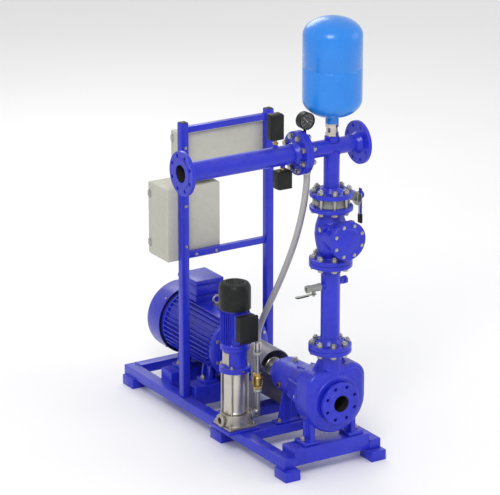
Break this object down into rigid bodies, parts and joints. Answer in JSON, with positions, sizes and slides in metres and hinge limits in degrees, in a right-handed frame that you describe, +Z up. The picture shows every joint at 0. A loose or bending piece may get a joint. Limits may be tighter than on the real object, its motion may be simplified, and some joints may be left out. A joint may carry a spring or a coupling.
{
  "type": "electric water pump unit",
  "caption": "Skid-mounted electric fire water pump with riser, valves, header pipe, diaphragm vessel, small vertical jockey pump and a rack that carries the control cabinets.",
  "frame": {"origin": "on the floor, under the centre of the unit's bounding box", "axes": "+Z up, the main pump's suction flange faces -Y, the motor and control rack lie towards +Y, and the header pipe runs along X"},
  "size_m": [1.05, 1.572, 2.142],
  "materials": {
    "blue_paint": "satin royal blue enamel",
    "dark_blue_paint": "satin royal blue enamel on sheet steel",
    "azure_paint": "semi-gloss azure powder coat",
    "beige_paint": "fine textured beige grey powder coat",
    "brushed_steel": "satin stainless steel",
    "zinc_steel": "zinc plated steel",
    "steel_braid": "braided stainless wire",
    "black_plastic": "matt black",
    "grey_enamel": "grey enamel on cast metal",
    "grey_paint": "grey painted sheet steel",
    "brass": "dull brass"
  },
  "bodies": {
    "unit": {"bearing_bracket": "blue_paint", "bracket_beam": "blue_paint", "braided_hose": "steel_braid", "butterfly_valve": "grey_enamel", "check_valve_body": "blue_paint", "check_valve_cover": "blue_paint", "controller_cabinet": "beige_paint", "controller_cabinet_door": "beige_paint", "coupling_beam": "blue_paint", "coupling_guard": "grey_paint", "header_spool": "blue_paint", "header_tee": "blue_paint", "hose_upper_fitting": "brushed_steel", "jockey_base": "brushed_steel", "jockey_cabinet": "beige_paint", "jockey_cabinet_door": "beige_paint", "jockey_check_valve": "brass", "jockey_fan_cowl": "black_plastic", "jockey_head": "blue_paint", "jockey_motor": "blue_paint", "jockey_outlet_pipe": "zinc_steel", "jockey_plate": "blue_paint", "jockey_sleeve": "brushed_steel", "jockey_terminal_box": "black_plastic", "motor_beam_back": "blue_paint", "motor_beam_front": "blue_paint", "motor_fan_cowl": "dark_blue_paint", "motor_frame": "blue_paint", "motor_terminal_box": "blue_paint", "pressure_gauge": "black_plastic", "pressure_switch_lower": "black_plastic", "pressure_switch_upper": "black_plastic", "pressure_vessel": "azure_paint", "pump_casing": "blue_paint", "pump_pedestal": "blue_paint", "rack_lower_rail": "blue_paint", "rack_post_left": "blue_paint", "rack_post_right": "blue_paint", "rack_top_rail": "blue_paint", "riser_pipe": "blue_paint", "riser_tap": "grey_enamel", "shaft_coupling": "brushed_steel", "skid_end_beam": "blue_paint", "skid_rail_left": "blue_paint", "skid_rail_right": "blue_paint", "vessel_nipple": "brushed_steel"},
    "butterfly_lever": {"butterfly_lever": "grey_enamel"},
    "riser_tap_lever": {"riser_tap_lever": "grey_enamel"}
  },
  "joints": [
    {"name": "butterfly_lever_turn", "type": "hinge", "parent": "unit", "child": "butterfly_lever", "pos_m": [0.4233, -0.634, 1.28905], "axis": [1, 0, 0], "range_deg": [0, 90]},
    {"name": "riser_tap_turn", "type": "hinge", "parent": "unit", "child": "riser_tap_lever", "pos_m": [0.173, -0.634, 0.8537], "axis": [0, 0, 1], "range_deg": [0, 90]}
  ]
}
